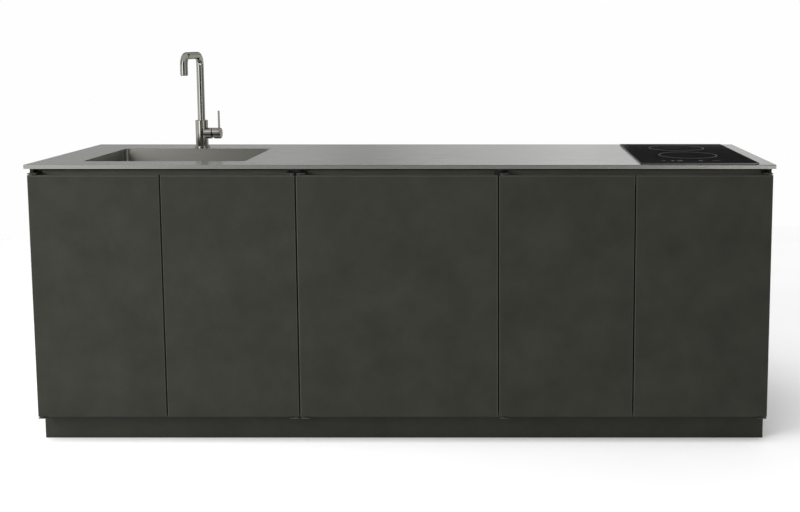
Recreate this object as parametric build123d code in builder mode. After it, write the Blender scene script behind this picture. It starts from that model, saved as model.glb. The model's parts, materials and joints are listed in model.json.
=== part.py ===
from build123d import *
from math import atan2, degrees, sqrt
import os

# Outdoor kitchen: three cabinets with five doors, a steel worktop, a sink with a mixer tap and a hob.
# Millimetres. +X is the viewer's right, -Y the front and +Z up.
# The origin is on the ground, under the middle of the worktop.

os.makedirs("parts", exist_ok=True)

# Whole unit
unit_width = 2200.0
unit_height = 850.0
panel = 12.0
back_panel = 8.0
joint_gap = 0.2
plinth_height = 80.0
plinth_recess = 47.0

# Worktop: a folded steel sheet over a board core
worktop_depth = 600.0
worktop_thickness = 12.0
worktop_end_overhang = 7.0
worktop_front_overhang = 6.5
worktop_corner = 4.0
sheet = 1.5

# Doors, from left to right, with the way from each hinge into its own door along X
door_widths = (390.0, 400.0, 600.0, 405.0, 405.0)
door_inward = (1, -1, 1, 1, -1)
door_bottom = 83.0
door_height = 735.0
door_thickness = 18.0
door_gap = 4.0
door_clearance = 3.5
door_edge_radius = 2.0
grip_bevel = 6.0

# Pivot hinges: a pin at the top and bottom of each door, turning in a flanged bush
hinge_from_edge = 9.0
hinge_from_front = 6.0
pin_radius = 2.5
pin_reach = 12.0
pin_end_gap = 1.0
running_gap = 0.05
bush_radius = 4.0
bush_flange_radius = 5.5
bush_length = 14.0
bush_flange = 2.0
foot_bush_flange = 2.7
bracket = 3.0
screw_radius = 2.0
screw_head_radius = 3.5
screw_head = 2.5

# Finger channel behind the tops of the doors
channel_wall = 2.0
channel_depth = 22.0
channel_height = 52.0

# Sink bowl and waste
bowl_centre = (-722.0, -26.0)
bowl_size = (490.0, 364.0)
bowl_depth = 185.0
bowl_wall = 1.2
bowl_corner = 12.0
bowl_floor_radius = 10.0
bowl_flange = 15.0
drain_radius = 45.0
cup_depth = 53.0
cup_wall = 1.5
waste_tube_radius = 20.0
trap_radius = 38.0
waste_pipe_height = 530.0

# Mixer tap
tap_x = -723.0
tap_y = 205.0
tap_body_radius = 20.5
tap_body_height = 93.0
tap_base_radius = 25.0
tap_base_height = 5.0
shank_radius = 16.0
shank_length = 75.0
spout_radius = 12.0
spout_wall = 1.5
spout_height = 325.0
spout_reach = 180.0
spout_tip_height = 252.0
spout_bend = 32.0
mixer_height = 48.0
mixer_radius = 18.5
mixer_branch = 35.0
mixer_end = 67.0
mixer_pivot = 44.0
lever_offset = 58.6
lever_radius = 3.2
lever_top = 125.0

# Hob
hob_centre_x = 884.0
hob_width = 350.0
hob_y = (-290.0, 266.0)
glass = 4.0
seal = 0.5
casing_margin = 15.0
casing_y = (-205.0, 230.0)
casing_depth = 60.0
touch_tray_front = -280.0
touch_tray_depth = 10.0
zone_radius = 90.0
zone_centres_y = (-80.0, 136.0)

# Heights worked out from the driving sizes
top = unit_height
top_underside = top - worktop_thickness
door_top = door_bottom + door_height
carcass = (plinth_height, top_underside)

# Depths worked out from the driving sizes
top_front = -worktop_depth / 2
top_back = worktop_depth / 2
door_front = top_front + worktop_front_overhang
door_back = door_front + door_thickness
carcass_front = door_back + door_clearance
carcass_back = top_back - worktop_end_overhang
back_face = carcass_back - back_panel
hinge_y = door_front + hinge_from_front
web_front = carcass_front + channel_depth - channel_wall
web_back = carcass_front + channel_depth
channel_bottom = top_underside - channel_height

# Door edges and cabinet spans along X
door_edges = [-unit_width / 2]
for width in door_widths:
    door_edges.append(door_edges[-1] + width)
sink_x = (door_edges[0], door_edges[2])
centre_x = (door_edges[2], door_edges[3])
hob_x = (door_edges[3], door_edges[5])
inside = {
    "sink": (sink_x[0] + panel, sink_x[1] - panel),
    "centre": (centre_x[0] + panel, centre_x[1] - panel),
    "hob": (hob_x[0] + panel, hob_x[1] - panel),
}

# Shelves: cabinet name to the height of the shelf's underside
shelf_heights = {"centre": 452.0, "hob": 352.0}
shelf_pin_radius = 2.5
shelf_pin_in = 8.0
shelf_pin_out = 10.0
shelf_pin_y = 200.0

# Turns that lay a cylinder along each axis
lay = {"X": (0, 90, 0), "Y": (90, 0, 0), "Z": (0, 0, 0)}


def middle(span):
    """The middle of a (low, high) pair."""
    return (span[0] + span[1]) / 2


def board(x, y, z, mode=Mode.ADD):
    """A block over three spans, each a (low, high) pair."""
    with Locations((middle(x), middle(y), middle(z))):
        Box(x[1] - x[0], y[1] - y[0], z[1] - z[0], mode=mode)


def rod(axis, x, y, z, radius, mode=Mode.ADD):
    """A round bar along one axis, whose entry is a (low, high) pair; the others are coordinates."""
    span = {"X": x, "Y": y, "Z": z}[axis]
    place = [middle(v) if isinstance(v, tuple) else v for v in (x, y, z)]
    with Locations(tuple(place)):
        Cylinder(radius, span[1] - span[0], rotation=lay[axis], mode=mode)


def save(builder, name):
    """Label a finished piece and write it to its own file."""
    builder.part.label = name
    export_step(builder.part, f"parts/{name}.step")


def door_span(index):
    """The left and right edges of a door, with half a gap on each side that has a neighbour."""
    low = door_edges[index] + (door_gap / 2 if index > 0 else 0)
    high = door_edges[index + 1] - (door_gap / 2 if index < len(door_widths) - 1 else 0)
    return low, high


def hinge_x(index):
    """The hinge axis of a door."""
    low, high = door_span(index)
    return low + hinge_from_edge if door_inward[index] > 0 else high - hinge_from_edge


def across(index, start, end):
    """A span along X measured from a door's hinge axis into the door."""
    ends = sorted((hinge_x(index) + door_inward[index] * d for d in (start, end)))
    return ends[0], ends[1]


doors = range(len(door_widths))
bracket_plate = (-8.0, 18.0)
bracket_arm = (4.0, 18.0)
bracket_gap = 3.0
bracket_setback = 0.5
bracket_flange = 15.0
bracket_foot_depth = 22.0
bracket_front = door_front + bracket_setback
bracket_top_z = (door_top + bracket_gap, door_top + bracket_gap + bracket)
bracket_flange_z = (bracket_top_z[0], bracket_top_z[0] + bracket_flange)
bracket_foot_z = (plinth_height - bracket, plinth_height)
bracket_foot_back = carcass_front + bracket_foot_depth
bracket_clear = 1.0
bracket_step = carcass_front - bracket_clear
screw_into_door = 11.0
screw_above_door = 12.0
screw_z = door_top + screw_above_door
foot_screw_in = (6.0, 16.0)
foot_screw_y = [carcass_front + reach for reach in foot_screw_in]
floor_screw_reach = 9.0

# Side panels, two to each cabinet, drilled for the shelf pins
side_panels = (
    ("left_end_panel", sink_x[0]),
    ("sink_side_panel", sink_x[1] - panel),
    ("centre_left_panel", centre_x[0]),
    ("centre_right_panel", centre_x[1] - panel),
    ("hob_side_panel", hob_x[0]),
    ("right_end_panel", hob_x[1] - panel),
)
pin_holes = [(cabinet, side) for cabinet in shelf_heights for side in (0, 1)]
for name, x_low in side_panels:
    with BuildPart() as side_panel:
        x_span = (x_low, x_low + panel)
        board(x_span, (carcass_front, carcass_back), carcass)
        for cabinet, side in pin_holes:
            face = inside[cabinet][side]
            if face in x_span:
                inward = 1 if side == 0 else -1
                hole = tuple(sorted((face, face - inward * shelf_pin_in)))
                hole_z = shelf_heights[cabinet] - shelf_pin_radius
                for y in (-shelf_pin_y, shelf_pin_y):
                    rod("X", hole, y, hole_z, shelf_pin_radius, mode=Mode.SUBTRACT)
    save(side_panel, name)

# Cabinet floors, drilled for the screws of the lower hinge brackets
for cabinet, x_span in inside.items():
    with BuildPart() as floor:
        board(x_span, (carcass_front, back_face), (plinth_height, plinth_height + panel))
        for index in doors:
            screw_x = hinge_x(index) + door_inward[index] * screw_into_door
            if x_span[0] < screw_x < x_span[1]:
                for y in foot_screw_y:
                    hole_z = (plinth_height, plinth_height + floor_screw_reach)
                    rod("Z", screw_x, y, hole_z, screw_radius, mode=Mode.SUBTRACT)
    save(floor, f"{cabinet}_cabinet_floor")

# Back panels, with the holes that the waste, the water hoses and the hob's lead pass through
waste_hole_radius = 23.0
hose_hole = (-572.0, 480.0, 30.0)
lead_hole = (hob_centre_x, 640.0, 20.0)
service_holes = {
    "sink": ((bowl_centre[0], waste_pipe_height, waste_hole_radius), hose_hole),
    "centre": (),
    "hob": (lead_hole,),
}
for cabinet, x_span in inside.items():
    with BuildPart() as back:
        board(x_span, (back_face, carcass_back), carcass)
        for x, z, radius in service_holes[cabinet]:
            rod("Y", x, (back_face, carcass_back), z, radius, mode=Mode.SUBTRACT)
    save(back, f"{cabinet}_back_panel")

# Shelves and the pins they lie on
shelf_side_gap = 1.0
shelf_setback = 12.0
for cabinet, name in (("centre", "centre_shelf"), ("hob", "hob_cabinet_shelf")):
    low, high = inside[cabinet]
    with BuildPart() as shelf:
        shelf_z = shelf_heights[cabinet]
        board(
            (low + shelf_side_gap, high - shelf_side_gap),
            (carcass_front + shelf_setback, back_face),
            (shelf_z, shelf_z + panel),
        )
    save(shelf, name)

with BuildPart() as shelf_pins:
    for cabinet, side in pin_holes:
        face = inside[cabinet][side]
        inward = 1 if side == 0 else -1
        pin = tuple(sorted((face - inward * shelf_pin_in, face + inward * shelf_pin_out)))
        for y in (-shelf_pin_y, shelf_pin_y):
            rod("X", pin, y, shelf_heights[cabinet] - shelf_pin_radius, shelf_pin_radius)
save(shelf_pins, "shelf_pins")

# Rear rails that tie the cabinet sides together under the worktop
rail_depth = 50.0
with BuildPart() as top_rails:
    for x_span in inside.values():
        board(x_span, (back_face - rail_depth, back_face), (top_underside - panel, top_underside))
save(top_rails, "top_rails")

# Finger channel over each cabinet: a web behind the fingertips and a lip along its foot
channel_lip = 2.0
with BuildPart() as finger_channel:
    for x_span in inside.values():
        board(x_span, (web_front, web_back), (channel_bottom, top_underside))
        lip_y = (carcass_front + channel_lip, web_front - joint_gap)
        board(x_span, lip_y, (channel_bottom, channel_bottom + channel_wall))
    for index in doors:
        screw_x = hinge_x(index) + door_inward[index] * screw_into_door
        rod("Y", screw_x, (web_front, web_back), screw_z, screw_radius, mode=Mode.SUBTRACT)
save(finger_channel, "finger_channel")

# Plinth, set back behind the doors and flush with the ends
plinth_front_y = (door_front + plinth_recess, door_front + plinth_recess + panel)
plinth_back_y = (carcass_back - plinth_recess - panel, carcass_back - plinth_recess)
plinth_z = (0.0, plinth_height)
with BuildPart() as plinth_front:
    board((-unit_width / 2, unit_width / 2), plinth_front_y, plinth_z)
save(plinth_front, "plinth_front")

with BuildPart() as plinth_returns:
    board((-unit_width / 2, unit_width / 2), plinth_back_y, plinth_z)
    for x in (-unit_width / 2, unit_width / 2 - panel):
        board((x, x + panel), (plinth_front_y[1], plinth_back_y[0] - joint_gap), plinth_z)
save(plinth_returns, "plinth_returns")

# Levelling feet inside the plinth, each a stud and disc screwed into a socket under the floor
foot_inset = 50.0
foot_y = 190.0
foot_places = [
    (x, y)
    for span in (sink_x, centre_x, hob_x)
    for x in (span[0] + foot_inset, span[1] - foot_inset)
    for y in (-foot_y, foot_y)
]
socket_radius = 12.0
socket_flange_radius = 20.0
socket_flange = 4.0
socket_length = 40.0
stud_radius = 6.0
foot_radius = 25.0
foot_height = 8.0
foot_chamfer = 2.0
stud_top = plinth_height - socket_flange
with BuildPart() as leveller_sockets:
    for x, y in foot_places:
        rod("Z", x, y, (stud_top, plinth_height), socket_flange_radius)
        rod("Z", x, y, (stud_top - socket_length, stud_top), socket_radius)
        rod("Z", x, y, (stud_top - socket_length, stud_top), stud_radius, mode=Mode.SUBTRACT)
save(leveller_sockets, "leveller_sockets")

with BuildPart() as levelling_feet:
    for x, y in foot_places:
        rod("Z", x, y, (0, foot_height), foot_radius)
    chamfer(levelling_feet.edges().group_by(Axis.Z)[-1], length=foot_chamfer)
    for x, y in foot_places:
        rod("Z", x, y, (foot_height, stud_top), stud_radius)
save(levelling_feet, "levelling_feet")

# Hinge brackets: a flat foot under the floor and an angle on the finger channel for each door
with BuildPart() as hinge_brackets:
    for index in doors:
        x = hinge_x(index)
        screw_x = x + door_inward[index] * screw_into_door
        board(across(index, *bracket_plate), (bracket_front, bracket_foot_back), bracket_foot_z)
        for y in foot_screw_y:
            rod("Z", screw_x, y, bracket_foot_z, screw_radius, mode=Mode.SUBTRACT)
        board(across(index, *bracket_plate), (bracket_front, bracket_step), bracket_top_z)
        board(across(index, *bracket_arm), (bracket_step, web_front), bracket_top_z)
        board(across(index, *bracket_arm), (web_front - bracket, web_front), bracket_flange_z)
        flange_y = (web_front - bracket, web_front)
        rod("Y", screw_x, flange_y, screw_z, screw_radius, mode=Mode.SUBTRACT)
        for plate_z in (bracket_foot_z, bracket_top_z):
            rod("Z", x, hinge_y, plate_z, pin_radius, mode=Mode.SUBTRACT)
save(hinge_brackets, "hinge_brackets")

with BuildPart() as hinge_pins:
    for index in doors:
        rod("Z", hinge_x(index), hinge_y, (bracket_foot_z[0], door_bottom + pin_reach), pin_radius)
        rod("Z", hinge_x(index), hinge_y, (door_top - pin_reach, bracket_top_z[1]), pin_radius)
save(hinge_pins, "hinge_pins")

with BuildPart() as bracket_screws:
    for index in doors:
        x = hinge_x(index) + door_inward[index] * screw_into_door
        for y in foot_screw_y:
            head_z = (bracket_foot_z[0] - screw_head, bracket_foot_z[0])
            rod("Z", x, y, head_z, screw_head_radius)
            rod("Z", x, y, (bracket_foot_z[0], plinth_height + floor_screw_reach), screw_radius)
        head_y = (web_front - bracket - screw_head, web_front - bracket)
        rod("Y", x, head_y, screw_z, screw_head_radius)
        rod("Y", x, (web_front - bracket, web_back), screw_z, screw_radius)
save(bracket_screws, "bracket_screws")

# Rubber-nosed magnets that hold the free edge of each door
buffer_from_edge = 18.0
buffer_radius = 4.0
buffer_gap = 0.3
buffer_above_plinth = 7.0
buffer_z = plinth_height + buffer_above_plinth
with BuildPart() as door_buffers:
    for index in doors:
        low, high = door_span(index)
        x = high - buffer_from_edge if door_inward[index] > 0 else low + buffer_from_edge
        rod("Y", x, (door_back + buffer_gap, carcass_front), buffer_z, buffer_radius)
save(door_buffers, "door_buffers")

# Doors: slabs with eased edges, a bevelled grip behind the top edge and bores for the bushes
for index in doors:
    low, high = door_span(index)
    bore_z = ((door_bottom, door_bottom + bush_length), (door_top - bush_length, door_top))
    with BuildPart() as door:
        board((low, high), (door_front, door_back), (door_bottom, door_top))
        grip = door.edges().filter_by(Axis.X).sort_by(Axis.Z)[-2:].sort_by(Axis.Y)[-1]
        chamfer(grip, length=grip_bevel)
        front_loop = door.faces().sort_by(Axis.Y)[0].edges()
        uprights = door.edges().filter_by(Axis.Z)
        fillet(front_loop + uprights.sort_by(Axis.Y)[-2:], radius=door_edge_radius)
        for z in bore_z:
            rod("Z", hinge_x(index), hinge_y, z, bush_radius, mode=Mode.SUBTRACT)
    save(door, f"door_{index + 1}")

    top_flange = (door_top, door_top + bush_flange)
    foot_flange = (door_bottom - foot_bush_flange, door_bottom)
    with BuildPart() as bushes:
        for z, flange in zip(bore_z, (foot_flange, top_flange)):
            rod("Z", hinge_x(index), hinge_y, z, bush_radius)
            rod("Z", hinge_x(index), hinge_y, flange, bush_flange_radius)
        pin_z = (
            (foot_flange[0], door_bottom + pin_reach + pin_end_gap),
            (door_top - pin_reach - pin_end_gap, top_flange[1]),
        )
        for z in pin_z:
            rod("Z", hinge_x(index), hinge_y, z, pin_radius + running_gap, mode=Mode.SUBTRACT)
    save(bushes, f"door_{index + 1}_bushes")

# Hob extents, shared by the worktop's cut-out and the hob's pieces
hob_span = (hob_centre_x - hob_width / 2, hob_centre_x + hob_width / 2)
casing_x = (hob_span[0] + casing_margin, hob_span[1] - casing_margin)
cutout_gap = 3.0
cutout_x = (casing_x[0] - cutout_gap, casing_x[1] + cutout_gap)
cutout_y = (touch_tray_front - cutout_gap, casing_y[1] + cutout_gap)
tap_hole_radius = 17.5
flange_size = (bowl_size[0] + 2 * bowl_flange, bowl_size[1] + 2 * bowl_flange)
flange_corner_extra = 8.0
flange_corner = bowl_corner + flange_corner_extra
top_length = unit_width + 2 * worktop_end_overhang

# Worktop sheet: folded down on all four sides, cut for the bowl, the tap and the hob
sheet_underside = top - sheet
with BuildPart() as worktop_sheet:
    with BuildSketch(Plane.XY.offset(top_underside)):
        RectangleRounded(top_length, worktop_depth, worktop_corner)
    extrude(amount=worktop_thickness)
    fillet(worktop_sheet.faces().sort_by(Axis.Z)[-1].edges(), radius=sheet)
    with BuildSketch(Plane.XY.offset(top_underside)):
        RectangleRounded(top_length - 2 * sheet, worktop_depth - 2 * sheet, worktop_corner - sheet)
    extrude(amount=worktop_thickness - sheet, mode=Mode.SUBTRACT)
    with BuildSketch(Plane.XY.offset(sheet_underside)):
        with Locations(bowl_centre):
            RectangleRounded(*bowl_size, bowl_corner)
    extrude(amount=sheet, mode=Mode.SUBTRACT)
    board(cutout_x, cutout_y, (sheet_underside, top), mode=Mode.SUBTRACT)
    rod("Z", tap_x, tap_y, (sheet_underside, top), tap_hole_radius, mode=Mode.SUBTRACT)
save(worktop_sheet, "worktop_sheet")

# Board core under the sheet
core_gap = 2.0
with BuildPart() as worktop_core:
    with BuildSketch(Plane.XY.offset(top_underside)):
        RectangleRounded(top_length - 2 * sheet, worktop_depth - 2 * sheet, worktop_corner - sheet)
    extrude(amount=worktop_thickness - sheet)
    with BuildSketch(Plane.XY.offset(top_underside)):
        with Locations(bowl_centre):
            RectangleRounded(flange_size[0] + 2 * core_gap, flange_size[1] + 2 * core_gap, flange_corner)
    extrude(amount=worktop_thickness - sheet, mode=Mode.SUBTRACT)
    core_z = (top_underside, sheet_underside)
    board(cutout_x, cutout_y, core_z, mode=Mode.SUBTRACT)
    rod("Z", tap_x, tap_y, core_z, tap_hole_radius, mode=Mode.SUBTRACT)
save(worktop_core, "worktop_core")

# Sink bowl: the hollow is shaped first, then taken out of the outer shape
bowl_floor = top - bowl_depth
with BuildPart() as bowl_hollow:
    with BuildSketch(Plane.XY.offset(bowl_floor)):
        with Locations(bowl_centre):
            RectangleRounded(*bowl_size, bowl_corner)
    extrude(amount=bowl_depth)
    fillet(bowl_hollow.faces().sort_by(Axis.Z)[0].edges(), radius=bowl_floor_radius)

with BuildPart() as sink_bowl:
    with BuildSketch(Plane.XY.offset(bowl_floor - bowl_wall)):
        with Locations(bowl_centre):
            outer = [size + 2 * bowl_wall for size in bowl_size]
            RectangleRounded(*outer, bowl_corner + bowl_wall)
    extrude(amount=sheet_underside - bowl_floor + bowl_wall)
    fillet(sink_bowl.faces().sort_by(Axis.Z)[0].edges(), radius=bowl_floor_radius + bowl_wall)
    with BuildSketch(Plane.XY.offset(sheet_underside - bowl_wall)):
        with Locations(bowl_centre):
            RectangleRounded(*flange_size, flange_corner)
    extrude(amount=bowl_wall)
    add(bowl_hollow.part, mode=Mode.SUBTRACT)
    rod("Z", *bowl_centre, (bowl_floor - bowl_wall, bowl_floor), drain_radius, mode=Mode.SUBTRACT)
save(sink_bowl, "sink_bowl")

# Waste: a flanged cup through the bowl's floor with a short outlet tube
waste_flange_radius = 56.0
waste_flange_height = 1.5
waste_flange_round = 1.0
cup_gap = 0.2
cup_radius = drain_radius - cup_gap
cup_bottom = bowl_floor - cup_depth
tube_length = 27.0
tube_bottom = cup_bottom - tube_length
with BuildPart() as waste_flange:
    rod("Z", *bowl_centre, (bowl_floor, bowl_floor + waste_flange_height), waste_flange_radius)
    fillet(waste_flange.edges().sort_by(Axis.Z)[-1], radius=waste_flange_round)
    rod("Z", *bowl_centre, (cup_bottom, bowl_floor), cup_radius)
    rod("Z", *bowl_centre, (tube_bottom, cup_bottom), waste_tube_radius)
    hollow_z = (cup_bottom + cup_wall, bowl_floor + waste_flange_height)
    rod("Z", *bowl_centre, hollow_z, cup_radius - cup_wall, mode=Mode.SUBTRACT)
    tube_z = (tube_bottom, cup_bottom + cup_wall)
    rod("Z", *bowl_centre, tube_z, waste_tube_radius - cup_wall, mode=Mode.SUBTRACT)
save(waste_flange, "waste_flange")

# Ring nut that draws the waste flange down onto the bowl
nut_height = 12.0
nut_grips = 8
nut_grip_radius = 4.0
with BuildPart() as waste_nut:
    nut_z = (bowl_floor - bowl_wall - nut_height, bowl_floor - bowl_wall)
    rod("Z", *bowl_centre, nut_z, waste_flange_radius)
    rod("Z", *bowl_centre, nut_z, cup_radius, mode=Mode.SUBTRACT)
    with Locations((*bowl_centre, middle(nut_z))):
        with PolarLocations(waste_flange_radius, nut_grips):
            Cylinder(nut_grip_radius, nut_height, mode=Mode.SUBTRACT)
save(waste_nut, "waste_nut")

# Strainer basket that lifts out of the waste cup: a rimmed wall round a slotted plate with a knob
basket_radius = 39.0
basket_wall = 1.0
basket_rim_radius = 50.0
basket_gap = 0.3
basket_depth = 38.0
basket_slots = 12
slot_width = 3.0
slot_reach = (10.0, 34.0)
knob_stem_radius = 3.0
knob_radius = 8.0
knob_height = 7.0
knob_round = 2.5
basket_rim = bowl_floor + waste_flange_height + basket_gap
basket_floor = basket_rim - basket_depth
knob_above_rim = 2.0
knob_foot = basket_rim + knob_above_rim
with BuildPart() as strainer_basket:
    rod("Z", *bowl_centre, (basket_rim, basket_rim + basket_wall), basket_rim_radius)
    rod("Z", *bowl_centre, (basket_floor, basket_rim), basket_radius)
    hollow_z = (basket_floor, basket_rim + basket_wall)
    rod("Z", *bowl_centre, hollow_z, basket_radius - basket_wall, mode=Mode.SUBTRACT)
    plate_z = (basket_floor, basket_floor + basket_wall)
    rod("Z", *bowl_centre, plate_z, basket_radius - basket_wall - joint_gap)
    with Locations((*bowl_centre, basket_floor + basket_wall / 2)):
        with PolarLocations(middle(slot_reach), basket_slots):
            Box(slot_reach[1] - slot_reach[0], slot_width, basket_wall, mode=Mode.SUBTRACT)
    rod("Z", *bowl_centre, (basket_floor + basket_wall, knob_foot), knob_stem_radius)
    rod("Z", *bowl_centre, (knob_foot, knob_foot + knob_height), knob_radius)
    fillet(strainer_basket.edges().sort_by(Axis.Z)[-1], radius=knob_round)
save(strainer_basket, "strainer_basket")

# Bottle trap: a collar round the waste tube, a neck, the bottle and an outlet collar to the back
collar_radius = 26.0
neck_radius = 22.0
trap_wall = 2.5
trap_foot_wall = 5.5
trap_chamfer = 6.0
trap_z = (440.0, 560.0)
collar_below = 8.0
collar_above = 20.0
collar_z = (tube_bottom - collar_below, tube_bottom + collar_above)
outlet_length = 40.0
pipe_shoulder = 8.0
outlet_y = (bowl_centre[1], bowl_centre[1] + trap_radius + outlet_length)
pipe_start = bowl_centre[1] + trap_radius + pipe_shoulder
trap_bore = waste_tube_radius - trap_wall
with BuildPart() as bottle_trap:
    rod("Z", *bowl_centre, collar_z, collar_radius)
    rod("Z", *bowl_centre, (trap_z[1], collar_z[0]), neck_radius)
    rod("Z", *bowl_centre, trap_z, trap_radius)
    chamfer(bottle_trap.edges().sort_by(Axis.Z)[0], length=trap_chamfer)
    rod("Y", bowl_centre[0], outlet_y, waste_pipe_height, collar_radius)
    hollow_z = (trap_z[0] + trap_wall, trap_z[1] - trap_wall)
    rod("Z", *bowl_centre, hollow_z, trap_radius - trap_foot_wall, mode=Mode.SUBTRACT)
    rod("Z", *bowl_centre, (middle(trap_z), collar_z[1]), trap_bore, mode=Mode.SUBTRACT)
    rod("Z", *bowl_centre, (tube_bottom, collar_z[1]), waste_tube_radius, mode=Mode.SUBTRACT)
    rod("Y", bowl_centre[0], outlet_y, waste_pipe_height, trap_bore, mode=Mode.SUBTRACT)
    socket_y = (pipe_start, outlet_y[1])
    rod("Y", bowl_centre[0], socket_y, waste_pipe_height, waste_tube_radius, mode=Mode.SUBTRACT)
save(bottle_trap, "bottle_trap")

# Waste pipe from the trap out through the back
pipe_setback = 1.0
pipe_end = top_back - pipe_setback
pipe_wall = 1.6
pipe_bore = waste_tube_radius - pipe_wall
with BuildPart() as waste_pipe:
    rod("Y", bowl_centre[0], (pipe_start, pipe_end), waste_pipe_height, waste_tube_radius)
    rod("Y", bowl_centre[0], (pipe_start, pipe_end), waste_pipe_height, pipe_bore, mode=Mode.SUBTRACT)
save(waste_pipe, "waste_pipe")

# Tap body: an upright with a branch to the right for the mixer cartridge
body_z = (top + tap_base_height, top + tap_body_height)
mixer_z = top + mixer_height
cartridge_radius = 14.0
cartridge_start = 6.0
cartridge_setback = 2.0
cartridge_x = (tap_x + cartridge_start, tap_x + mixer_branch - cartridge_setback)
waterway_radius = 6.0
tap_round = 2.0
spout_socket_depth = 27.0
spout_socket_z = (body_z[1] - spout_socket_depth, body_z[1])
spout_end_gap = 1.0
spout_bottom = spout_socket_z[0] + spout_end_gap
with BuildPart() as tap_body:
    rod("Z", tap_x, tap_y, body_z, tap_body_radius)
    fillet(tap_body.edges().sort_by(Axis.Z)[-1], radius=tap_round)
    branch_x = (tap_x, tap_x + mixer_branch)
    rod("X", branch_x, tap_y, mixer_z, mixer_radius)
    branch_bore = (cartridge_x[0], branch_x[1])
    rod("X", branch_bore, tap_y, mixer_z, cartridge_radius, mode=Mode.SUBTRACT)
    rod("Z", tap_x, tap_y, spout_socket_z, spout_radius + running_gap, mode=Mode.SUBTRACT)
    rod("Z", tap_x, tap_y, (mixer_z, spout_socket_z[0]), waterway_radius, mode=Mode.SUBTRACT)
save(tap_body, "tap_body")

with BuildPart() as tap_base_ring:
    rod("Z", tap_x, tap_y, (top, body_z[0]), tap_base_radius)
    fillet(tap_base_ring.edges().sort_by(Axis.Z)[-1], radius=tap_round)
    rod("Z", tap_x, tap_y, (top, body_z[0]), shank_radius, mode=Mode.SUBTRACT)
save(tap_base_ring, "tap_base_ring")

# Threaded shank through the worktop, with the hot and cold inlets in its lower end
inlet_radius = 5.0
inlet_offset = 7.5
inlet_depth = 30.0
shank_bottom = top - shank_length
with BuildPart() as tap_shank:
    rod("Z", tap_x, tap_y, (shank_bottom, body_z[0]), shank_radius)
    for side in (-inlet_offset, inlet_offset):
        inlet_z = (shank_bottom, shank_bottom + inlet_depth)
        rod("Z", tap_x + side, tap_y, inlet_z, inlet_radius, mode=Mode.SUBTRACT)
save(tap_shank, "tap_shank")

# Flanged nut that clamps the tap from below
washer_radius = 27.0
washer_thickness = 4.0
tap_nut_radius = 25.0
tap_nut_height = 12.0
washer_z = (top_underside - washer_thickness, top_underside)
nut_z = (washer_z[0] - tap_nut_height, washer_z[0])
with BuildPart() as tap_nut:
    rod("Z", tap_x, tap_y, washer_z, washer_radius)
    with BuildSketch(Plane.XY.offset(nut_z[0])):
        with Locations((tap_x, tap_y)):
            RegularPolygon(radius=tap_nut_radius, side_count=6)
    extrude(amount=tap_nut_height)
    rod("Z", tap_x, tap_y, (nut_z[0], washer_z[1]), shank_radius, mode=Mode.SUBTRACT)
save(tap_nut, "tap_nut")

# Mixer cartridge in the branch, bored for the stem
stem_radius = 5.0
stem_start = 18.0
stem_x = (tap_x + stem_start, tap_x + mixer_pivot)
stem_bore = (stem_x[0] - pin_end_gap, cartridge_x[1])
with BuildPart() as mixer_cartridge:
    rod("X", cartridge_x, tap_y, mixer_z, cartridge_radius)
    rod("X", stem_bore, tap_y, mixer_z, stem_radius + running_gap, mode=Mode.SUBTRACT)
save(mixer_cartridge, "mixer_cartridge")

# Mixer stem: a rod with a ball at the tilt pivot and a dome behind it
ball_radius = 7.0
dome_radius = 15.8
dome_gap = 0.4
dome_from_pivot = 5.0
dome_x = (tap_x + mixer_branch + dome_gap, tap_x + mixer_pivot - dome_from_pivot)
with BuildPart() as mixer_stem:
    with Locations((tap_x + mixer_pivot, tap_y, mixer_z)):
        Sphere(dome_radius)
    far = 2 * dome_radius
    for cut_x in ((dome_x[0] - far, dome_x[0]), (dome_x[1], dome_x[1] + far)):
        cut_z = (mixer_z - far, mixer_z + far)
        board(cut_x, (tap_y - far, tap_y + far), cut_z, mode=Mode.SUBTRACT)
    rod("X", stem_x, tap_y, mixer_z, stem_radius)
    with Locations((tap_x + mixer_pivot, tap_y, mixer_z)):
        Sphere(ball_radius)
save(mixer_stem, "mixer_stem")

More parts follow.
